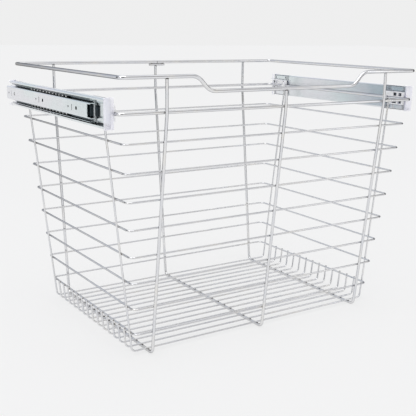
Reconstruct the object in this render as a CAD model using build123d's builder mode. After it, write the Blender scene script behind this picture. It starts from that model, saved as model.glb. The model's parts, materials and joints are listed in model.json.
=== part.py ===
from build123d import *
import os
from math import cos, radians, sin, tan

os.makedirs("parts", exist_ok=True)

# Wire sizes
rim_wire = 6.0
frame_wire = 5.0
grid_wire = 3.2

# Basket frame, between wire centres. X runs side to side, the front is at -Y, the floor is z = 0
rim_width = 604.0
rim_level = 457.0
rim_end_room = 18.5  # from each end of the slide's channel to the rim's front and back runs
corner_radius = 9.0
wall_lean = 6.5  # degrees that the four walls lean in towards the floor

# Dip in the front run of the rim
dip_depth = 23.5
dip_flat_width = 299.5
dip_run = 22.5
dip_bend_radius = 24.0

# Short bar under the rim's butt joint
splice_length = 35.0
splice_wire = 5.0
splice_offset = 3.0

# Drop of the slide ring below the rim, and of the uprights' bend below the slide ring
slide_drop = 53.0
kink_drop = 4.0
kink_radius = 30.0

# Thin rings, counted from the top one down
ring_count = 8
top_ring_drop = 45.0
lowest_ring_level = 40.5

# Uprights and floor wires
upright_inset = 76.0
upright_foot_radius = 10.0
cross_wire_count = 16
cross_wire_end_gap = 14.2  # from the front upright's foot to the first cross wire
cross_wire_foot_radius = 8.0
finger_rise = 2.0

# Slide, a full-extension ball-bearing slide. Depths are measured from the basket side
slide_height = 45.0
slide_width = 12.7
channel_depth = 11.9
channel_length = 400.0
sheet = 1.2
ball_diameter = 4.0
race_gap = 0.15
web_gap = 0.35
web_bend_radius = 1.8
lip_length = 3.3

# Where the members stand when the basket is shut. The channel is a little behind the middle
slide_shift = 4.0
cabinet_member_setback = 46.0
cabinet_notch_length = 10.0
intermediate_front_setback = 48.0
intermediate_back_setback = 6.0

# Inner row of balls, and the lean of the flanges that trap both rows
inner_ball_depth = 5.8
intermediate_flange_lean = 8.0
intermediate_lip_turn = 45.0
cabinet_flange_lean = 5.0
cabinet_lip_turn = 50.0
intermediate_lip_length = 0.3
cabinet_lip_length = 0.3

# Ball cages
ball_pitch = 14.0
ball_play = 0.15
cage_sheet = 0.6
cage_end_margin = 3.5
cage_back_reach = 2.7
inner_cage_face_reach = 1.0
outer_cage_lip_gap = 0.3
inner_ball_count = 12
outer_ball_count = 9

# Screw holes in the cabinet member, each with a slit and a small hole behind it
screw_hole_diameter = 6.0
screw_hole_pitch = 140.0
first_screw_hole = 42.0
last_screw_hole_room = 15.0  # at least this far from the lever's pivot
slit_length = 10.0
slit_width = 1.6
slit_offset = 17.0
key_hole_diameter = 3.5
key_hole_offset = 31.0

# Plastic clip between the slide ring and the basket member
clip_plate = 2.5
clip_length = 52.0
clip_lip = 1.2
clip_lip_reach = 4.5
clip_cap = 5.0
clip_edge_radius = 2.0
clip_fit = 0.05
saddle_length = 50.0
saddle_depth = 5.2
saddle_half_height = 12.0
saddle_mouth = 4.2
pocket_low = 3.9
pocket_high = 10.0
pocket_first_end = 4.0
upper_pocket_widths = (9.0, 13.0, 11.0)
lower_pocket_widths = (9.0, 13.0)
pocket_rib = 3.5
hood_thickness = 2.3
hood_start = 23.0
hood_flat = 9.0
hood_overlap = 3.2
hood_tail_width = 10.0
hood_tail_drop = 3.0
upright_gap = 1.0
clip_window_length = 30.0
clip_window_height = 7.0
clip_window_start = 8.0
clip_window_level = 17.3
clip_peg_diameter = 4.0
clip_peg_inset = 6.0
clip_passage_gap = 0.5

# Bumper on the web of the basket member, where the intermediate member comes to rest
bumper_length = 7.0
bumper_height = 16.0
bumper_depth = 3.0
bumper_inset = 38.0
plastic_edge_radius = 1.0

# Stop block on the front end of the intermediate member, under the notch of the cabinet member
stop_length = 12.0
stop_height = 18.6
stop_depth = 5.0
stop_inset = 5.0
stop_notch_gap = 0.6

# Release lever on the inner face of the cabinet member
lever_length = 27.0
lever_height = 9.0
lever_thickness = 2.5
lever_inset = 2.0
lever_gap = 0.2
lever_pivot_inset = 15.0
lever_eye_radius = 5.2
rivet_diameter = 4.0
rivet_play = 0.1
rivet_head_diameter = 7.0
rivet_head_thickness = 0.9
rivet_head_gap = 0.2

overrun = 1.0

# Places that follow from the sizes above
half_channel = channel_length / 2
channel_front = slide_shift - half_channel
channel_back = slide_shift + half_channel
half_width = rim_width / 2
half_depth = half_channel + rim_end_room
slide_level = rim_level - slide_drop
kink_level = slide_level - kink_drop
lean = tan(radians(wall_lean))
lean_stretch = 1 / cos(radians(wall_lean))
runner_level = frame_wire / 2
floor_wire_level = frame_wire + grid_wire / 2
rim_underside = rim_level - rim_wire / 2
slide_ring_half_depth = half_depth - frame_wire
web_x = half_width + frame_wire / 2 + clip_plate
slide_back = half_depth + rim_wire / 2
cabinet_front = channel_front + cabinet_member_setback
notch_end = cabinet_front + cabinet_notch_length
intermediate_front = channel_front + intermediate_front_setback
intermediate_back = channel_back - intermediate_back_setback


def side_wire_x(level):
    """Distance of the side uprights and fingers from the middle, at a level."""
    return half_width - (slide_level - level) * lean


def end_wire_y(level):
    """Distance of the front and back uprights from the middle, at a level below the kink."""
    return half_depth - (kink_level - level) * lean


def save(piece, node):
    piece.label = node
    export_step(piece, f"parts/{node}.step")
    print(node, round(piece.volume, 1))


def save_pair(piece, node):
    """Save a right-hand piece and its mirror image for the left."""
    save(piece, f"right_{node}")
    save(mirror(piece, about=Plane.YZ), f"left_{node}")


def bend_wire(points, radius, size, close=False):
    """One round wire along straight runs joined by bends."""
    with BuildPart() as bent:
        with BuildLine() as path:
            FilletPolyline(*points, radius=radius, close=close)
        with BuildSketch(Plane(origin=path.line @ 0, z_dir=path.line % 0)):
            Circle(size / 2)
        sweep()
    return bent.part


def rectangle_points(half_x, half_y, level):
    return [
        (-half_x, -half_y, level),
        (half_x, -half_y, level),
        (half_x, half_y, level),
        (-half_x, half_y, level),
    ]


# Rim, with the dip in its front run
dip_inner = dip_flat_width / 2
dip_outer = dip_inner + dip_run
dip_level = rim_level - dip_depth
rim_points = [
    (-half_width, -half_depth, rim_level),
    (-dip_outer, -half_depth, rim_level),
    (-dip_inner, -half_depth, dip_level),
    (dip_inner, -half_depth, dip_level),
    (dip_outer, -half_depth, rim_level),
    (half_width, -half_depth, rim_level),
    (half_width, half_depth, rim_level),
    (-half_width, half_depth, rim_level),
]
rim_radii = [corner_radius] + [dip_bend_radius] * 4 + [corner_radius] * 3
save(bend_wire(rim_points, rim_radii, rim_wire, close=True), "rim_wire")

# Splice bar, against the underside of the rim at the back
splice_level = rim_underside - splice_wire / 2
splice_start = splice_offset - splice_length / 2
with BuildPart() as splice:
    with BuildSketch(Plane(origin=(splice_start, half_depth, splice_level), z_dir=(1, 0, 0))):
        Circle(splice_wire / 2)
    extrude(amount=splice_length)
save(splice.part, "rim_splice_bar")

# Slide ring, inside the uprights
slide_ring_points = rectangle_points(half_width, slide_ring_half_depth, slide_level)
save(bend_wire(slide_ring_points, corner_radius, frame_wire, close=True), "slide_ring")

# Thin rings, inside both sets of uprights
top_ring_level = slide_level - top_ring_drop
ring_pitch = (top_ring_level - lowest_ring_level) / (ring_count - 1)
ring_levels = [top_ring_level - ring_pitch * i for i in range(ring_count)]
for number, level in enumerate(ring_levels, start=1):
    ring_x = side_wire_x(level) - grid_wire * lean_stretch
    ring_y = end_wire_y(level) - (frame_wire + grid_wire) / 2 * lean_stretch
    ring = bend_wire(rectangle_points(ring_x, ring_y, level), corner_radius, grid_wire, close=True)
    save(ring, f"side_ring_{number}")

# Front-to-back uprights with their runners. The middle one meets the dip and the splice bar
outer_upright_x = half_width - upright_inset
upright_tops = {
    "left": (-outer_upright_x, rim_underside, rim_underside),
    "centre": (0, rim_underside - dip_depth, rim_underside - splice_wire),
    "right": (outer_upright_x, rim_underside, rim_underside),
}
foot_y = end_wire_y(runner_level)
for place, (x, front_top, back_top) in upright_tops.items():
    upright_points = [
        (x, -half_depth, front_top),
        (x, -half_depth, kink_level),
        (x, -foot_y, runner_level),
        (x, foot_y, runner_level),
        (x, half_depth, kink_level),
        (x, half_depth, back_top),
    ]
    upright_radii = [kink_radius, upright_foot_radius, upright_foot_radius, kink_radius]
    save(bend_wire(upright_points, upright_radii, frame_wire), f"upright_{place}")


def cross_wire(y, top_level):
    """A wire across the floor, on the runners, with both ends turned up to top_level."""
    top_x = side_wire_x(top_level)
    foot_x = side_wire_x(floor_wire_level)
    points = [
        (-top_x, y, top_level),
        (-foot_x, y, floor_wire_level),
        (foot_x, y, floor_wire_level),
        (top_x, y, top_level),
    ]
    return bend_wire(points, cross_wire_foot_radius, grid_wire)


# Cross wires, from the front: the first and the last rise to the slide ring
first_cross_wire = cross_wire_end_gap - foot_y
cross_wire_pitch = -2 * first_cross_wire / (cross_wire_count - 1)
slide_ring_underside = slide_level - frame_wire / 2
finger_top = lowest_ring_level + finger_rise
for place in range(cross_wire_count):
    y = first_cross_wire + cross_wire_pitch * place
    if place == 0:
        save(cross_wire(y, slide_ring_underside), "side_upright_front")
    elif place == cross_wire_count - 1:
        save(cross_wire(y, slide_ring_underside), "side_upright_rear")
    else:
        save(cross_wire(y, finger_top), f"floor_wire_{place:02d}")

# Slide section, half of it, in depth from the basket side and height above the slide's centre
half_sheet = sheet / 2
half_slide = slide_height / 2
ball_radius = ball_diameter / 2
race_radius = ball_radius + race_gap
groove_radius = race_radius + half_sheet
outer_ball_depth = channel_depth - sheet - race_radius
outer_ball_height = half_slide - sheet - race_radius


def groove_corner(centre, first_angle, last_angle):
    """Corner whose fillet of groove_radius follows the ball, between two tangent directions."""
    middle = radians((first_angle + last_angle) / 2)
    reach = groove_radius / cos(radians((last_angle - first_angle) / 2))
    return (centre[0] + reach * cos(middle), centre[1] + reach * sin(middle))


def tangent_point(centre, angle, run):
    """Point on the tangent of the ball's groove at an angle, a run past the touching point."""
    turn = radians(angle)
    return (
        centre[0] + groove_radius * cos(turn) - run * sin(turn),
        centre[1] + groove_radius * sin(turn) + run * cos(turn),
    )


def web_corner(centre, angle, depth):
    """Where the tangent of the ball's groove at an angle meets the web's centre line."""
    start = tangent_point(centre, angle, 0)
    slope = tan(radians(angle + 90))
    return (depth, start[1] + (depth - start[0]) * slope)


outer_ball = (outer_ball_depth, outer_ball_height)
intermediate_web = sheet + web_gap + half_sheet
cabinet_web = slide_width - half_sheet
channel_profile = [
    (channel_depth - half_sheet, half_slide - half_sheet - lip_length),
    (channel_depth - half_sheet, half_slide - half_sheet),
    (half_sheet, half_slide - half_sheet),
]
flange_angle = -90 - intermediate_flange_lean
lip_angle = -90 + intermediate_lip_turn
intermediate_profile = [
    tangent_point(outer_ball, lip_angle, intermediate_lip_length),
    groove_corner(outer_ball, flange_angle, lip_angle),
    web_corner(outer_ball, flange_angle, intermediate_web),
]

# The inner balls roll under the leaning flange of the intermediate member
flange_slope = tan(radians(intermediate_flange_lean))
flange_start = intermediate_profile[2]
flange_at_ball = flange_start[1] - (inner_ball_depth - flange_start[0]) * flange_slope
inner_ball_height = flange_at_ball - groove_radius / cos(radians(intermediate_flange_lean))
inner_ball = (inner_ball_depth, inner_ball_height)
cabinet_flange_angle = -90 + cabinet_flange_lean
cabinet_lip_angle = -90 - cabinet_lip_turn
cabinet_profile = [
    tangent_point(inner_ball, cabinet_lip_angle, -cabinet_lip_length),
    groove_corner(inner_ball, cabinet_lip_angle, cabinet_flange_angle),
    web_corner(inner_ball, cabinet_flange_angle, cabinet_web),
]
print("outer ball", outer_ball, "inner ball", inner_ball)


def section_plane(y):
    """Plane across the right-hand slide at y: depth along X, height along Z."""
    return Plane(origin=(web_x, y, slide_level), x_dir=(1, 0, 0), z_dir=(0, -1, 0))


def face_plane(depth):
    """Plane along the right-hand slide at a depth: Y and height."""
    return Plane(origin=(web_x + depth, 0, slide_level), x_dir=(0, 1, 0), z_dir=(1, 0, 0))


def member_section(half_profile):
    """Sheet section from a half profile and its mirror image below."""
    lower = [(depth, -height) for depth, height in reversed(half_profile)]
    bends = [groove_radius, web_bend_radius, web_bend_radius, groove_radius]
    with BuildLine() as middle:
        FilletPolyline(*half_profile, *lower, radius=bends)
    trace(middle.line, line_width=sheet)


def along(end, inset):
    """Y of a point at an inset from the front (-1) or back (1) end of the basket member."""
    return slide_shift + end * (half_channel - inset)


clip_peg_height = -(half_slide - clip_peg_inset)
clip_peg_places = [(along(end, clip_length - clip_peg_inset), clip_peg_height) for end in (-1, 1)]
with BuildPart() as basket_member:
    with BuildSketch(section_plane(channel_back)):
        member_section(channel_profile)
    extrude(amount=channel_length)
    with BuildSketch(face_plane(-overrun)):
        with Locations(*clip_peg_places):
            Circle(clip_peg_diameter / 2 + clip_fit)
    extrude(amount=sheet + 2 * overrun, mode=Mode.SUBTRACT)
save_pair(basket_member.part, "basket_member")

with BuildPart() as intermediate_member:
    with BuildSketch(section_plane(intermediate_back)):
        member_section(intermediate_profile)
    extrude(amount=intermediate_back - intermediate_front)
save_pair(intermediate_member.part, "intermediate_member")

lever_pivot = notch_end + lever_pivot_inset
first_hole_y = slide_back - first_screw_hole
screw_hole_gaps = int((first_hole_y - lever_pivot - last_screw_hole_room) // screw_hole_pitch)
screw_holes = [first_hole_y - screw_hole_pitch * i for i in range(screw_hole_gaps + 1)]
with BuildPart() as cabinet_member:
    with BuildSketch(section_plane(slide_back)):
        member_section(cabinet_profile)
    extrude(amount=slide_back - cabinet_front)
    with BuildSketch(face_plane(slide_width + overrun)):
        for y in screw_holes:
            with Locations((y, 0)):
                Circle(screw_hole_diameter / 2)
            with Locations((y + slit_offset, 0)):
                SlotOverall(slit_length, slit_width, rotation=90)
            with Locations((y + key_hole_offset, 0)):
                Circle(key_hole_diameter / 2)
        with Locations((lever_pivot, 0)):
            Circle(rivet_diameter / 2)
        with Locations((cabinet_front, 0)):
            Rectangle(2 * cabinet_notch_length, stop_height + 2 * stop_notch_gap)
    extrude(amount=-sheet - 2 * overrun, mode=Mode.SUBTRACT)
save_pair(cabinet_member.part, "cabinet_member")


def cage_strips(ball, face_reach, centre_y, count):
    """Two flat strips, above and below, cut out for each ball, that reach past the balls' line."""
    length = ball_pitch * (count - 1) + ball_diameter + 2 * cage_end_margin
    strip_middle = web_x + ball[0] + (face_reach - cage_back_reach) / 2
    with BuildPart() as strips:
        for side in (-1, 1):
            level = slide_level + side * ball[1] - cage_sheet / 2
            with BuildSketch(Plane.XY.offset(level)):
                with Locations((strip_middle, centre_y)):
                    Rectangle(cage_back_reach + face_reach, length)
                with Locations((web_x + ball[0], centre_y)):
                    with GridLocations(ball_pitch, ball_pitch, 1, count):
                        Circle(ball_radius + ball_play, mode=Mode.SUBTRACT)
            extrude(amount=cage_sheet)
    return strips.part


def ball_rows(ball, centre_y, count):
    """Both rows of balls of one cage."""
    with BuildPart() as balls:
        for side in (-1, 1):
            with Locations((web_x + ball[0], centre_y, slide_level + side * ball[1])):
                with GridLocations(ball_pitch, ball_pitch, 1, count):
                    Sphere(ball_radius)
    return balls.part


# Fully out, each cage stands in the middle of the stretch where its two members overlap
outer_cage_centre = (channel_back + intermediate_front) / 2
inner_cage_centre = (intermediate_back + notch_end) / 2
outer_face_reach = channel_depth - sheet - outer_cage_lip_gap - outer_ball_depth
outer_cage = cage_strips(outer_ball, outer_face_reach, outer_cage_centre, outer_ball_count)
inner_cage = cage_strips(inner_ball, inner_cage_face_reach, inner_cage_centre, inner_ball_count)
save_pair(outer_cage, "outer_cage")
save_pair(ball_rows(outer_ball, outer_cage_centre, outer_ball_count), "outer_balls")
save_pair(inner_cage, "inner_cage")
save_pair(ball_rows(inner_ball, inner_cage_centre, inner_ball_count), "inner_balls")

# Clip: a plate between ring and channel, a cap over the channel's end, and a saddle for the ring.
# The saddle's lower half stops short of the side upright, which butts under the ring there
cap_half_height = half_slide + clip_lip
pocket_height = pocket_high - pocket_low
pocket_level = (pocket_high + pocket_low) / 2
passage_half_height = flange_start[1] + half_sheet + clip_passage_gap


def clip(end):
    """Clip at the front (-1) or back (1) end of the right-hand basket member."""
    foot_end = -first_cross_wire + grid_wire / 2 + upright_gap
    saddle_foot_length = end * along(end, 0) - foot_end
    with BuildPart() as body:
        with BuildSketch(face_plane(-clip_plate)):
            with Locations((along(end, (clip_length - clip_cap) / 2), 0)):
                RectangleRounded(clip_length + clip_cap, 2 * cap_half_height, clip_edge_radius)
        extrude(amount=clip_plate)
        with BuildSketch(face_plane(-clip_plate)):
            for side in (-1, 1):
                with Locations((along(end, clip_length / 2), side * (half_slide + clip_lip / 2))):
                    Rectangle(clip_length, clip_lip)
        extrude(amount=clip_plate + clip_lip_reach)
        with BuildSketch(face_plane(-clip_plate)):
            with Locations((along(end, -clip_cap / 2), 0)):
                RectangleRounded(clip_cap, 2 * cap_half_height, clip_edge_radius)
        extrude(amount=clip_plate + channel_depth)
        with BuildSketch(face_plane(-clip_plate)):
            with Locations((along(end, saddle_length / 2), saddle_half_height / 2)):
                Rectangle(saddle_length, saddle_half_height)
            with Locations((along(end, saddle_foot_length / 2), -saddle_half_height / 2)):
                Rectangle(saddle_foot_length, saddle_half_height)
        extrude(amount=-saddle_depth)

        # Groove for the ring, with a mouth narrower than the wire
        with BuildSketch(Plane(origin=(half_width, 0, slide_level), z_dir=(0, end, 0))):
            Circle(frame_wire / 2 + clip_fit)
        extrude(amount=end * along(end, -overrun), mode=Mode.SUBTRACT)
        with BuildSketch(face_plane(-clip_plate - frame_wire / 2)):
            with Locations((along(end, saddle_length / 2), 0)):
                Rectangle(saddle_length + 2 * overrun, saddle_mouth)
        extrude(amount=-frame_wire, mode=Mode.SUBTRACT)

        # Pockets above and below the ring
        with BuildSketch(face_plane(-clip_plate)):
            for side, widths in ((1, upper_pocket_widths), (-1, lower_pocket_widths)):
                start = pocket_first_end
                for width in widths:
                    with Locations((along(end, start + width / 2), side * pocket_level)):
                        Rectangle(width, pocket_height)
                    start += width + pocket_rib
        extrude(amount=-saddle_depth - overrun, mode=Mode.SUBTRACT)

        # Hood that laps over the ring at its inner end
        with BuildSketch(face_plane(-clip_plate - saddle_depth)):
            arch_start = (along(end, hood_start + hood_flat), saddle_half_height)
            arch_end = (along(end, saddle_length), 0)
            tail_y = along(end, saddle_length - hood_tail_width)
            with BuildLine():
                Polyline(
                    arch_end,
                    (along(end, saddle_length), -hood_tail_drop),
                    (tail_y, -hood_tail_drop),
                    (tail_y, hood_overlap),
                    (along(end, hood_start), hood_overlap),
                    (along(end, hood_start), saddle_half_height),
                    arch_start,
                )
                TangentArc(arch_start, arch_end, tangent=(-end, 0))
            make_face()
        extrude(amount=-hood_thickness)

        # Windows in the plate
        with BuildSketch(face_plane(-clip_plate)):
            for side in (-1, 1):
                window_middle = along(end, clip_window_start + clip_window_length / 2)
                with Locations((window_middle, side * clip_window_level)):
                    RectangleRounded(clip_window_length, clip_window_height, clip_edge_radius)
        extrude(amount=clip_plate, mode=Mode.SUBTRACT)

        # Peg through the web
        with BuildSketch(face_plane(0)):
            with Locations((along(end, clip_length - clip_peg_inset), clip_peg_height)):
                Circle(clip_peg_diameter / 2)
        extrude(amount=sheet)

        # The members pass through the back cap as the basket comes out
        if end > 0:
            with BuildSketch(face_plane(sheet)):
                with Locations((along(end, -clip_cap / 2), 0)):
                    Rectangle(clip_cap + 2 * overrun, 2 * passage_half_height)
            extrude(amount=channel_depth, mode=Mode.SUBTRACT)
    return body.part


save_pair(clip(-1), "front_clip")
save_pair(clip(1), "rear_clip")


def plastic_block(depth, front, length, height, thickness):
    """Rounded block that stands on a web at a depth."""
    with BuildPart() as block:
        with BuildSketch(face_plane(depth)):
            with Locations((front + length / 2, 0)):
                RectangleRounded(length, height, clip_edge_radius)
        extrude(amount=thickness)
        fillet(block.faces().sort_by(Axis.X)[-1].edges(), plastic_edge_radius)
    return block.part


bumper_front = channel_front + bumper_inset
bumper = plastic_block(sheet, bumper_front, bumper_length, bumper_height, bumper_depth)
save_pair(bumper, "front_bumper")
stop_front = intermediate_front + stop_inset
stop_seat = intermediate_web + half_sheet
stop_block = plastic_block(stop_seat, stop_front, stop_length, stop_height, stop_depth)
save_pair(stop_block, "stop_block")

# Release lever on the inner face of the cabinet member, and the rivet that it turns on
lever_outer = slide_width - sheet - lever_gap
lever_middle = notch_end + lever_inset + lever_length / 2
with BuildPart() as release_lever:
    with BuildSketch(face_plane(lever_outer)):
        with Locations((lever_middle, 0)):
            SlotOverall(lever_length, lever_height)
        with Locations((lever_pivot, 0)):
            Circle(lever_eye_radius)
            Circle(rivet_diameter / 2 + rivet_play, mode=Mode.SUBTRACT)
    extrude(amount=-lever_thickness)
save_pair(release_lever.part, "release_lever")

rivet_head_seat = lever_outer - lever_thickness - rivet_head_gap
with BuildPart() as lever_rivet:
    with BuildSketch(face_plane(slide_width)):
        with Locations((lever_pivot, 0)):
            Circle(rivet_diameter / 2)
    extrude(amount=rivet_head_seat - slide_width)
    with BuildSketch(face_plane(rivet_head_seat)):
        with Locations((lever_pivot, 0)):
            Circle(rivet_head_diameter / 2)
    extrude(amount=-rivet_head_thickness)
save_pair(lever_rivet.part, "lever_rivet")
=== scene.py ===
import json
import math

import bmesh
import bpy
from mathutils import Matrix, Vector


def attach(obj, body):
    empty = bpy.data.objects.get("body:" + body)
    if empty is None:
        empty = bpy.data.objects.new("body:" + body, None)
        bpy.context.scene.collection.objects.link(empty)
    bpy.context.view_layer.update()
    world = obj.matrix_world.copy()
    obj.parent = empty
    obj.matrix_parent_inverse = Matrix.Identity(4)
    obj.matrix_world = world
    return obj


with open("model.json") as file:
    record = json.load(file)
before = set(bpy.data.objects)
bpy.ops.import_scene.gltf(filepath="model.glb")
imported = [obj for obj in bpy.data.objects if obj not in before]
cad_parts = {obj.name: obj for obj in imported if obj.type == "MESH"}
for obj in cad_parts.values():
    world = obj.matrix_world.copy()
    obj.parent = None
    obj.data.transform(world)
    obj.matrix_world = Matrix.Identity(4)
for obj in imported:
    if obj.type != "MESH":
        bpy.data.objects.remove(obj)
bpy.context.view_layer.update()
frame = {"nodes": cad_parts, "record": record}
nodes = frame["nodes"]

# Sizes and places of the wires in metres, at wire centres, though runnerTop and fingerTop are tops
basket = {
    "halfWidth": 0.302,
    "halfDepth": 0.2185,
    "rimLevel": 0.457,
    "slideLevel": 0.404,
    "kinkLevel": 0.400,
    "lean": math.radians(6.5),
    "rimWire": 0.006,
    "frameWire": 0.005,
    "gridWire": 0.0032,
    "dipDepth": 0.0235,
    "topRing": 0.359,
    "ringPitch": 0.0455,
    "ringCount": 8,
    "uprightX": 0.226,
    "runnerTop": 0.005,
    "firstFloorWire": -0.15901,
    "floorWirePitch": 0.021201,
    "floorWireCount": 16,  # with both side uprights, which cross the floor too
    "fingerTop": 0.0425,
    "spliceX": 0.003,
    "spliceLength": 0.035,
    "slideMiddle": 0.004,
}
slope = math.tan(basket["lean"])
stretch = 1 / math.cos(basket["lean"])
uprightPlaces = (-basket["uprightX"], 0, basket["uprightX"])


def sideX(level):
    return basket["halfWidth"] - (basket["slideLevel"] - level) * slope


def endY(level):
    return basket["halfDepth"] - (basket["kinkLevel"] - level) * slope


def floorWireY(wire):
    return basket["firstFloorWire"] + basket["floorWirePitch"] * wire


# Finishes. Patterns read Object coordinates, in metres
white = (1, 1, 1)
step = 0.0002  # metres over which a mask turns


def startFinish(name):
    finish = bpy.data.materials.new(name)
    finish.use_nodes = True
    tree = finish.node_tree
    place = tree.nodes.new("ShaderNodeTexCoord").outputs["Object"]
    return finish, tree, tree.nodes["Principled BSDF"], place


def grain(tree, place, scale, detail=4, pull=(1, 1, 1), roughness=0.5):
    mapping = tree.nodes.new("ShaderNodeMapping")
    mapping.inputs["Scale"].default_value = pull
    tree.links.new(place, mapping.inputs["Vector"])
    noise = tree.nodes.new("ShaderNodeTexNoise")
    noise.inputs["Scale"].default_value = scale
    noise.inputs["Detail"].default_value = detail
    noise.inputs["Roughness"].default_value = roughness
    tree.links.new(mapping.outputs["Vector"], noise.inputs["Vector"])
    return noise.outputs["Fac"]


def spangle(tree, place, scale):
    cells = tree.nodes.new("ShaderNodeTexVoronoi")
    cells.inputs["Scale"].default_value = scale
    tree.links.new(place, cells.inputs["Vector"])
    return cells.outputs["Color"]


def tones(tree, source, stops):
    ramp = tree.nodes.new("ShaderNodeValToRGB")
    line = ramp.color_ramp
    while len(line.elements) < len(stops):
        line.elements.new(0.5)
    for element, (position, colour) in zip(line.elements, stops):
        element.position = position
        element.color = (*colour, 1)
    tree.links.new(source, ramp.inputs["Fac"])
    return ramp.outputs["Color"]


def between(tree, source, low, high, lowAt=0.3, highAt=0.7):  # noise keeps within 0.3 and 0.7
    spread = tree.nodes.new("ShaderNodeMapRange")
    spread.inputs["From Min"].default_value = lowAt
    spread.inputs["From Max"].default_value = highAt
    spread.inputs["To Min"].default_value = low
    spread.inputs["To Max"].default_value = high
    tree.links.new(source, spread.inputs["Value"])
    return spread.outputs["Result"]


def multiply(tree, first, second):
    blend = tree.nodes.new("ShaderNodeMix")
    blend.data_type = "RGBA"
    blend.blend_type = "MULTIPLY"
    blend.inputs["Factor"].default_value = 1
    tree.links.new(first, blend.inputs["A"])
    tree.links.new(second, blend.inputs["B"])
    return blend.outputs["Result"]


def reckon(tree, operation, first, second):
    result = tree.nodes.new("ShaderNodeMath")
    result.operation = operation
    tree.links.new(first, result.inputs[0])
    tree.links.new(second, result.inputs[1])
    return result.outputs["Value"]


def axis(tree, place, letter):
    parts = tree.nodes.new("ShaderNodeSeparateXYZ")
    tree.links.new(place, parts.inputs["Vector"])
    return parts.outputs[letter]


def distance(tree, source, middle=0):
    offset = tree.nodes.new("ShaderNodeMath")
    offset.operation = "SUBTRACT"
    offset.inputs[1].default_value = middle
    tree.links.new(source, offset.inputs[0])
    absolute = tree.nodes.new("ShaderNodeMath")
    absolute.operation = "ABSOLUTE"
    tree.links.new(offset.outputs["Value"], absolute.inputs[0])
    return absolute.outputs["Value"]


def openness(tree, reach):
    hollow = tree.nodes.new("ShaderNodeAmbientOcclusion")
    hollow.inputs["Distance"].default_value = reach
    return hollow.outputs["AO"]


def paint(tree, shader, colour):
    tree.links.new(colour, shader.inputs["Base Color"])


def polish(tree, shader, source, span):
    tree.links.new(between(tree, source, *span), shader.inputs["Roughness"])


def relief(tree, shader, source, strength, depth):
    bump = tree.nodes.new("ShaderNodeBump")
    bump.inputs["Strength"].default_value = strength
    bump.inputs["Distance"].default_value = depth
    tree.links.new(source, bump.inputs["Height"])
    tree.links.new(bump.outputs["Normal"], shader.inputs["Normal"])


chromeLook = {
    "colours": [(0.30, (0.74, 0.75, 0.78)), (0.55, (0.79, 0.79, 0.80)), (0.75, (0.83, 0.815, 0.785))],
    "cloud": (38, 4),  # each grain: scale and detail, and in some also pull and roughness
    "edgeTint": (0.2, 0.2, 0.2),
    "polish": (0.07, 0.13),
    "haze": (90, 6),
    "dimples": (120, 2),
    "dimpleRelief": (0.35, 0.00002),  # each relief: strength and depth
}


def chromedWire():
    finish, tree, shader, place = startFinish("chromedWire")
    shader.inputs["Metallic"].default_value = 1
    shader.inputs["Specular Tint"].default_value = (*chromeLook["edgeTint"], 1)
    paint(tree, shader, tones(tree, grain(tree, place, *chromeLook["cloud"]), chromeLook["colours"]))
    polish(tree, shader, grain(tree, place, *chromeLook["haze"]), chromeLook["polish"])
    relief(tree, shader, grain(tree, place, *chromeLook["dimples"]), *chromeLook["dimpleRelief"])
    return finish


weldLook = {
    "colours": [(0.32, (0.26, 0.235, 0.19)), (0.52, (0.46, 0.435, 0.40)), (0.72, (0.66, 0.65, 0.64))],
    "cloud": (260, 3),
    "besideMiddle": (0.232, 0.245),  # the uprights' welds are darker than those of the side walls
    "uprightWeldTone": (0.30, 0.29, 0.28),
    "polish": (0.22, 0.42),
    "haze": (500, 4),
    "ripples": (900, 4),
    "rippleRelief": (0.6, 0.00012),
}


def weldHeat():
    finish, tree, shader, place = startFinish("weldHeat")
    shader.inputs["Metallic"].default_value = 1
    beside = between(tree, distance(tree, axis(tree, place, "X")), 0, 1, *weldLook["besideMiddle"])
    uprightWeldTone = tones(tree, beside, [(0, weldLook["uprightWeldTone"]), (1, white)])
    bare = tones(tree, grain(tree, place, *weldLook["cloud"]), weldLook["colours"])
    paint(tree, shader, multiply(tree, bare, uprightWeldTone))
    polish(tree, shader, grain(tree, place, *weldLook["haze"]), weldLook["polish"])
    relief(tree, shader, grain(tree, place, *weldLook["ripples"]), *weldLook["rippleRelief"])
    return finish


zincLook = {
    "colours": [
        (0.30, (0.73, 0.81, 0.82)),
        (0.45, (0.79, 0.84, 0.85)),
        (0.58, (0.83, 0.83, 0.86)),
        (0.72, (0.77, 0.85, 0.84)),
    ],
    "cloud": (9, 5, (1, 0.55, 1)),
    "spangleScale": 150,
    "spangleDim": 0.94,
    "sheen": (0.14, 0.24),
    "rollingLines": (1, 5, (700, 9, 700), 0.62),
    "lineRelief": (0.12, 0.00002),
    "crevice": 0.005,  # gaps narrower than this get painted shade
    "paintedShadeSpan": (0.50, 0.82),
    "paintedShadeTone": (0.02, 0.045, 0.06),
    "openFace": 0.3071,  # but not the channels' web, light through the clear clips
    "flangeFace": 0.0223,
    "mouth": (0.3172, 0.3182),  # from deep in the slide to its open side
    "saddleReach": 0.0115,  # the painted shade comes back on the web in the pockets of the clips' saddles
    "saddleStart": 0.150,
    "dullStripX": (0.3092, 0.0008),  # a strip in front of the stop block, less metallic and left out of the painted shade: its middle and half its width
    "dullStripY": (-0.1455, 0.0027),
    "dullStripMetal": 0.15,
}


# 1 where the painted shade is left off: the channels' web outside the saddles' pockets, the flanges and the
#                                        slide's open side
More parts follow.
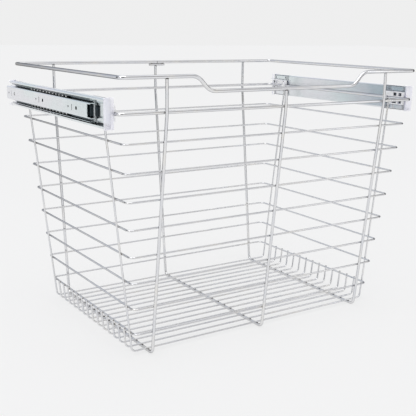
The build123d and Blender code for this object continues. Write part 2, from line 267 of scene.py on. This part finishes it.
def openFaces(tree, place):
    web, flange = zincLook["openFace"], zincLook["flangeFace"]
    reach, start = zincLook["saddleReach"], zincLook["saddleStart"]
    depth = distance(tree, axis(tree, place, "X"))
    along = distance(tree, axis(tree, place, "Y"), basket["slideMiddle"])
    height = distance(tree, axis(tree, place, "Z"), basket["slideLevel"])
    onWeb = between(tree, depth, 1, 0, web, web + step)
    inBand = between(tree, height, 1, 0, reach, reach + step)
    atEnds = between(tree, along, 0, 1, start - step, start)
    beside = reckon(tree, "SUBTRACT", onWeb, reckon(tree, "MULTIPLY", inBand, atEnds))
    onFlange = between(tree, height, 0, 1, flange - step, flange)
    outside = between(tree, depth, 0, 1, *zincLook["mouth"])
    return reckon(tree, "MAXIMUM", reckon(tree, "MAXIMUM", beside, onFlange), outside)


def dullStripMask(tree, place):
    middleX, reachX = zincLook["dullStripX"]
    middleY, reachY = zincLook["dullStripY"]
    depth = distance(tree, distance(tree, axis(tree, place, "X")), middleX)
    along = distance(tree, axis(tree, place, "Y"), middleY)
    inDepth = between(tree, depth, 1, 0, reachX - step, reachX)
    inLength = between(tree, along, 1, 0, reachY - step, reachY)
    return reckon(tree, "MULTIPLY", inDepth, inLength)


def zincPlate(name, shade):
    finish, tree, shader, place = startFinish(name)
    dullStrip = dullStripMask(tree, place)
    tree.links.new(between(tree, dullStrip, 1, zincLook["dullStripMetal"], 0, 1), shader.inputs["Metallic"])
    broad = tones(tree, grain(tree, place, *zincLook["cloud"]), zincLook["colours"])
    dim = [zincLook["spangleDim"] * part for part in shade]
    flecks = tones(tree, spangle(tree, place, zincLook["spangleScale"]), [(0, dim), (1, shade)])
    plated = multiply(tree, broad, flecks)
    # painted shade: the zinc darkens towards a dark teal in narrow gaps found by ambient occlusion
    lit = reckon(tree, "MAXIMUM", openness(tree, zincLook["crevice"]), openFaces(tree, place))
    dark, light = zincLook["paintedShadeSpan"]
    stops = [(dark, zincLook["paintedShadeTone"]), (light, white)]
    # the dull strip is left out of the painted shade, so it shows light
    greaseAndShade = tones(tree, reckon(tree, "MAXIMUM", lit, dullStrip), stops)
    paint(tree, shader, multiply(tree, plated, greaseAndShade))
    lines = grain(tree, place, *zincLook["rollingLines"])
    polish(tree, shader, lines, zincLook["sheen"])
    relief(tree, shader, lines, *zincLook["lineRelief"])
    return finish


ballLook = {"colour": (1.0, 1.0, 1.0), "metal": 0.5, "polish": (0.12, 0.20), "greaseAndShade": (350, 3)}


def polishedBall():
    finish, tree, shader, place = startFinish("polishedBall")
    shader.inputs["Metallic"].default_value = ballLook["metal"]
    shader.inputs["Base Color"].default_value = (*ballLook["colour"], 1)
    polish(tree, shader, grain(tree, place, *ballLook["greaseAndShade"]), ballLook["polish"])
    return finish


clearLook = {
    "colours": [(0.25, (0.91, 0.91, 0.96)), (0.55, (0.95, 0.95, 0.98)), (0.80, (0.99, 0.99, 1.0))],
    "flow": (1, 4, (60, 22, 60)),
    "density": 1.49,  # how strongly it bends light
    "plateFace": 0.3044,  # the clip's plate lies outside this depth, its saddle inside
    "plateTint": (0.90, 0.90, 0.99),
    "plateCover": 0.12,
    "saddleCover": 0.86,
    "endPlace": 0.2002,  # the cap over the members' ends starts here, from the slide's middle
    "endCover": 0.78,
    "milkiness": 0.7,
    "milkDepth": 0.004,
    "polish": (0.06, 0.16),
    "haze": (240, 4),
    "waves": (130, 3),
    "waveRelief": (0.2, 0.00012),
    "hollowShade": [(0.12, (0.04, 0.05, 0.08)), (0.42, (0.46, 0.48, 0.62)), (0.75, white)],
    "hollowReach": 0.003,
}


def clearPlastic():
    finish, tree, shader, place = startFinish("clearPlastic")
    plateAt, endAt = clearLook["plateFace"], clearLook["endPlace"]
    depth = distance(tree, axis(tree, place, "X"))
    along = distance(tree, axis(tree, place, "Y"), basket["slideMiddle"])
    edge = (plateAt - step, plateAt)
    outer = tones(tree, between(tree, depth, 0, 1, *edge), [(0, white), (1, clearLook["plateTint"])])
    flow = tones(tree, grain(tree, place, *clearLook["flow"]), clearLook["colours"])
    # painted shade: the clip's colour darkens in hollows found by ambient occlusion
    shaded = tones(tree, openness(tree, clearLook["hollowReach"]), clearLook["hollowShade"])
    paint(tree, shader, multiply(tree, multiply(tree, flow, outer), shaded))
    shader.inputs["IOR"].default_value = clearLook["density"]
    shader.inputs["Subsurface Weight"].default_value = clearLook["milkiness"]
    shader.inputs["Subsurface Scale"].default_value = clearLook["milkDepth"]
    shader.inputs["Subsurface Radius"].default_value = white
    byDepth = between(tree, depth, clearLook["saddleCover"], clearLook["plateCover"], *edge)
    atEnd = between(tree, along, 0, clearLook["endCover"], endAt - step, endAt)
    cover = reckon(tree, "MAXIMUM", byDepth, atEnd)
    inner = tree.nodes.new("ShaderNodeNewGeometry").outputs["Backfacing"]
    outward = between(tree, inner, 1, 0, 0, 1)
    tree.links.new(reckon(tree, "MULTIPLY", cover, outward), shader.inputs["Alpha"])
    polish(tree, shader, grain(tree, place, *clearLook["haze"]), clearLook["polish"])
    relief(tree, shader, grain(tree, place, *clearLook["waves"]), *clearLook["waveRelief"])
    return finish


blackLook = {
    "colours": [(0.3, (0.014, 0.022, 0.026)), (0.7, (0.028, 0.042, 0.048))],
    "cloud": (120, 4),
    "shine": 0.25,
    "polish": (0.34, 0.50),
    "haze": (300, 4),
    "texture": (1600, 2),
    "textureRelief": (0.35, 0.00005),
}


def blackPlastic():
    finish, tree, shader, place = startFinish("blackPlastic")
    shader.inputs["Specular IOR Level"].default_value = blackLook["shine"]
    paint(tree, shader, tones(tree, grain(tree, place, *blackLook["cloud"]), blackLook["colours"]))
    polish(tree, shader, grain(tree, place, *blackLook["haze"]), blackLook["polish"])
    relief(tree, shader, grain(tree, place, *blackLook["texture"]), *blackLook["textureRelief"])
    return finish


finishes = {
    "chrome_wire": chromedWire(),
    "zinc_steel": zincPlate("zincPlate", white),
    "bearing_steel": polishedBall(),
    "clear_plastic": clearPlastic(),
    "black_plastic": blackPlastic(),
}
weldFinish = weldHeat()
# painted shade: the cages' zinc is dimmed to the dark deep between the slide members
cageShade = (0.34, 0.39, 0.41)
cageFinish = zincPlate("shadedCage", cageShade)

# Each CAD node takes its slot's finish, and the ball cages a darker copy of the zinc, painted shade for
# their place deep in the slides' gaps.
# The triangles are joined for smooth shading and parted at sharp edges
smoothing = {"join": 0.000002, "edgeAngle": math.radians(32)}
for part in frame["record"]["subparts"]:
    node = nodes[part["node"]]
    isCage = part["node"].endswith("_cage")
    node.data.materials.clear()
    node.data.materials.append(cageFinish if isCage else finishes[part["material_slot"]])
    node.data.polygons.foreach_set("use_smooth", [True] * len(node.data.polygons))
    join = node.modifiers.new("join", "WELD")
    join.merge_threshold = smoothing["join"]
    edges = node.modifiers.new("edges", "EDGE_SPLIT")
    edges.split_angle = smoothing["edgeAngle"]
print("finishes on the frame:", ", ".join(finishes))


# New pieces
def finishPiece(mesh, name, finish, body):
    data = bpy.data.meshes.new(name)
    bmesh.ops.recalc_face_normals(mesh, faces=mesh.faces)
    mesh.to_mesh(data)
    mesh.free()
    data.polygons.foreach_set("use_smooth", [True] * len(data.polygons))
    data.materials.append(finish)
    piece = bpy.data.objects.new(name, data)
    bpy.context.scene.collection.objects.link(piece)
    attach(piece, body)
    return piece


def turnTo(direction):
    return Vector((0, 0, 1)).rotation_difference(Vector(direction)).to_matrix().to_4x4()


# Resistance welds: a low nugget squeezed out where two wires meet
weld = {
    "thinSpread": 0.0020,
    "thinSink": 0.0009,
    "thickSpread": 0.0026,
    "thickSink": 0.0010,
    "unevenShare": 0.14,
    "unevenTurns": (911, 577, 1303),  # makes neighbours differ in size
    "spliceShare": 0.36,  # of the splice bar's length, from its middle to its welds
    "fineness": 2,
}


def nugget(mesh, place, across, spread, sink):  # flattened along the axis numbered across
    turns = sum(part * turn for part, turn in zip(place, weld["unevenTurns"]))
    size = [spread * (1 + weld["unevenShare"] * math.sin(turns))] * 3
    size[across] = sink
    matrix = Matrix.Translation(place) @ Matrix.Diagonal((*size, 1))
    bmesh.ops.create_icosphere(mesh, subdivisions=weld["fineness"], radius=1, matrix=matrix)


def ringNuggets(mesh, number):
    level = basket["topRing"] - basket["ringPitch"] * number
    contactX = sideX(level) - basket["gridWire"] / 2 * stretch
    contactY = endY(level) - basket["frameWire"] / 2 * stretch
    for end in (-1, 1):
        for x in uprightPlaces:
            nugget(mesh, (x, end * contactY, level), 1, weld["thinSpread"], weld["thinSink"])
    last = basket["floorWireCount"] - 1
    for wire in range(basket["floorWireCount"]):
        if number == basket["ringCount"] - 1 or wire in (0, last):
            for side in (-1, 1):
                place = (side * contactX, floorWireY(wire), level)
                nugget(mesh, place, 0, weld["thinSpread"], weld["thinSink"])


gridWelds = bmesh.new()
for number in range(basket["ringCount"]):
    ringNuggets(gridWelds, number)
for wire in range(basket["floorWireCount"]):
    for x in uprightPlaces:
        place = (x, floorWireY(wire), basket["runnerTop"])
        nugget(gridWelds, place, 2, weld["thinSpread"], weld["thinSink"])
finishPiece(gridWelds, "gridWelds", weldFinish, "basket")

frameWelds = bmesh.new()
rimUnder = basket["rimLevel"] - basket["rimWire"] / 2
slideUnder = basket["slideLevel"] - basket["frameWire"] / 2
for x in uprightPlaces:
    for end in (-1, 1):
        y = end * (basket["halfDepth"] - basket["frameWire"] / 2)
        nugget(frameWelds, (x, y, basket["slideLevel"]), 1, weld["thickSpread"], weld["thickSink"])
        top = rimUnder
        if x == 0:
            top -= basket["dipDepth"] if end < 0 else basket["frameWire"]
        nugget(frameWelds, (x, end * basket["halfDepth"], top), 2, weld["thickSpread"], weld["thickSink"])
for side in (-1, 1):
    for end in (-1, 1):
        place = (side * basket["halfWidth"], end * basket["firstFloorWire"], slideUnder)
        nugget(frameWelds, place, 2, weld["thinSpread"], weld["thinSink"])
    x = basket["spliceX"] + side * basket["spliceLength"] * weld["spliceShare"]
    nugget(frameWelds, (x, basket["halfDepth"], rimUnder), 2, weld["thickSpread"], weld["thickSink"])
finishPiece(frameWelds, "frameWelds", weldFinish, "basket")
print("welds made")

# Cut ends of the floor wires, and of the splice bar, slightly domed
wireEnd = {"domeShare": 0.28, "rings": 6, "segments": 14}


def dome(mesh, place, direction, radius):
    size = Matrix.Diagonal((radius, radius, radius * wireEnd["domeShare"], 1))
    matrix = Matrix.Translation(place) @ turnTo(direction) @ size
    bmesh.ops.create_uvsphere(
        mesh, u_segments=wireEnd["segments"], v_segments=wireEnd["rings"], radius=1, matrix=matrix
    )


wireEnds = bmesh.new()
for wire in range(1, basket["floorWireCount"] - 1):
    for side in (-1, 1):
        place = (side * sideX(basket["fingerTop"]), floorWireY(wire), basket["fingerTop"])
        dome(wireEnds, place, (side * slope, 0, 1), basket["gridWire"] / 2)
for side in (-1, 1):
    x = basket["spliceX"] + side * basket["spliceLength"] / 2
    place = (x, basket["halfDepth"], rimUnder - basket["frameWire"] / 2)
    dome(wireEnds, place, (side, 0, 0), basket["frameWire"] / 2)
finishPiece(wireEnds, "wireEnds", finishes["chrome_wire"], "basket")

# Weld bead on the inner lower half of the rim's butt joint
bead = {
    "radius": 0.0005,
    "sunkShare": 0.3,
    "segments": 10,
    "steps": 24,
    "start": math.radians(-45),
    "sweep": math.radians(180),
}
jointBead = bmesh.new()
alongRim = Vector((1, 0, 0))
centre = Vector((basket["spliceX"], basket["halfDepth"], basket["rimLevel"]))
outward = Vector((0, -math.cos(bead["start"]), -math.sin(bead["start"])))
middle = centre + outward * (basket["rimWire"] / 2 - bead["radius"] * bead["sunkShare"])
bmesh.ops.create_circle(
    jointBead, cap_ends=False, segments=bead["segments"], radius=bead["radius"],
    matrix=Matrix.Translation(middle) @ turnTo(alongRim.cross(outward))
)
bmesh.ops.spin(
    jointBead, geom=jointBead.edges[:], cent=centre, axis=alongRim, angle=bead["sweep"], steps=bead["steps"]
)
bmesh.ops.holes_fill(jointBead, edges=[edge for edge in jointBead.edges if edge.is_boundary])
finishPiece(jointBead, "rimJointBead", weldFinish, "basket")
print("wire ends and the rim's joint made")

# Camera at the photograph's place
lookout = {
    "place": (-0.7922, -1.1919, 0.5261),
    "right": (0.8367, -0.5474, 0.0155),
    "up": (0.1136, 0.2012, 0.9729),
    "lens": 65.4,
    "sensor": 36,
    "reach": 100,
}
camera = bpy.data.objects.new("camera", bpy.data.cameras.new("camera"))
bpy.context.scene.collection.objects.link(camera)
right = Vector(lookout["right"]).normalized()
up = Vector(lookout["up"])
up = (up - right * up.dot(right)).normalized()
turn = Matrix((right, up, right.cross(up))).transposed().to_4x4()
camera.matrix_world = Matrix.Translation(lookout["place"]) @ turn
camera.data.lens = lookout["lens"]
camera.data.sensor_width = lookout["sensor"]
camera.data.clip_end = lookout["reach"]
bpy.context.scene.camera = camera

# Floor and studio light
studio = {
    "floorSize": 40,
    "floorColour": (0.22, 0.22, 0.22),
    "floorGlow": 0.655,  # a table lit from within, so that shadows stay faint
    "floorDensity": 1.0,  # no gloss
    "mattness": 0.9,
    "sky": [
        (0.0, (0.86, 0.86, 0.86)),
        (0.545, (0.86, 0.86, 0.86)),
        (0.62, (0.50, 0.50, 0.52)),
        (0.80, (0.34, 0.34, 0.35)),
        (1.0, (0.62, 0.62, 0.63)),
    ],
    "around": [(0.1, (0.76, 0.745, 0.72)), (0.5, white), (0.9, (1.55, 1.62, 1.72))],  # front to back
    "aloft": (0.10, 0.24),  # only above the horizon
    "skyStrength": 1.0,
}


def mattFinish(name, colour):
    finish = bpy.data.materials.new(name)
    finish.use_nodes = True
    shader = finish.node_tree.nodes["Principled BSDF"]
    shader.inputs["Base Color"].default_value = (*colour, 1)
    shader.inputs["Roughness"].default_value = studio["mattness"]
    return finish


def flatCard(name, finish, size, matrix):
    mesh = bmesh.new()
    bmesh.ops.create_grid(mesh, x_segments=1, y_segments=1, size=size, matrix=matrix)
    data = bpy.data.meshes.new(name)
    mesh.to_mesh(data)
    mesh.free()
    data.materials.append(finish)
    card = bpy.data.objects.new(name, data)
    bpy.context.scene.collection.objects.link(card)
    return card


floorFinish = mattFinish("paleFloor", studio["floorColour"])
floorShader = floorFinish.node_tree.nodes["Principled BSDF"]
floorShader.inputs["Emission Color"].default_value = (*white, 1)
floorShader.inputs["Emission Strength"].default_value = studio["floorGlow"]
floorShader.inputs["IOR"].default_value = studio["floorDensity"]
floor = flatCard("floor", floorFinish, studio["floorSize"] / 2, Matrix())

world = bpy.data.worlds.new("studio")
bpy.context.scene.world = world
world.use_nodes = True
skyTree = world.node_tree
direction = skyTree.nodes.new("ShaderNodeTexCoord").outputs["Generated"]
upward = axis(skyTree, direction, "Z")
height = between(skyTree, upward, 0, 1, -1, 1)
aloft = between(skyTree, upward, 0, 1, *studio["aloft"])
backward = reckon(skyTree, "MULTIPLY", axis(skyTree, direction, "Y"), aloft)
tint = tones(skyTree, between(skyTree, backward, 0, 1, -1, 1), studio["around"])
sky = multiply(skyTree, tones(skyTree, height, studio["sky"]), tint)
skyTree.links.new(sky, skyTree.nodes["Background"].inputs["Color"])
skyTree.nodes["Background"].inputs["Strength"].default_value = studio["skyStrength"]

lamps = {
    "target": (0, 0, 0.25),
    "suns": [  # place, spread in degrees, strength
        ("keyLight", (-1.2, -1.0, 3.0), 75, 1.25),
        ("fillLight", (1.5, 0.5, 2.5), 110, 0.65),
    ],
    "softboxes": [  # place, size, power
        ("topLight", (0, -0.4, 1.9), (2.0, 0.8), 2),
        ("leftLight", (-1.9, -0.9, 1.1), (0.25, 1.2), 2.5),
        ("rightLight", (1.6, -1.5, 1.1), (0.3, 1.2), 1.2),
    ],
}


def hangLamp(lamp, place, target):
    holder = bpy.data.objects.new(lamp.name, lamp)
    bpy.context.scene.collection.objects.link(holder)
    holder.location = place
    holder.rotation_euler = (Vector(target) - Vector(place)).to_track_quat("-Z", "Y").to_euler()


for name, place, spread, strength in lamps["suns"]:
    lamp = bpy.data.lights.new(name, "SUN")
    lamp.angle = math.radians(spread)
    lamp.energy = strength
    hangLamp(lamp, place, (0, 0, 0))
for name, place, size, power in lamps["softboxes"]:
    lamp = bpy.data.lights.new(name, "AREA")
    lamp.shape = "RECTANGLE"
    lamp.size, lamp.size_y = size
    lamp.energy = power
    hangLamp(lamp, place, lamps["target"])
bpy.context.scene.view_settings.view_transform = "Standard"

# Flags round the basket, seen only where the metal mirrors them
flags = {
    "height": 1.1,
    "places": [  # bearing in degrees, metres away, width, lower edge, tone
        (156, 1.25, 0.75, 0, (0.14, 0.14, 0.145)),
        (234, 1.35, 0.90, 0.40, (0.02, 0.02, 0.02)),
        (345, 1.25, 0.75, 0, (0.05, 0.05, 0.055)),
        (137, 2.8, 0.60, 0, (0.34, 0.46, 0.54)),
    ],
}
upright = Matrix.Rotation(math.radians(90), 4, "Y")
for number, (bearing, away, width, lowEdge, tone) in enumerate(flags["places"]):
    cloth = mattFinish(f"flagCloth{number}", tone)
    angle = math.radians(bearing)
    middle = Vector((math.cos(angle), math.sin(angle), 0)) * away
    middle += Vector((0, 0, lowEdge + flags["height"] / 2))
    size = Matrix.Diagonal((flags["height"] / 2, width / 2, 1, 1))
    matrix = Matrix.Translation(middle) @ Matrix.Rotation(angle, 4, "Z") @ upright @ size
    flag = flatCard(f"flag{number}", cloth, 1, matrix)
    flag.visible_camera = False
    flag.visible_diffuse = False
    flag.visible_transmission = False
    flag.visible_shadow = False
print("camera, floor and lights made")
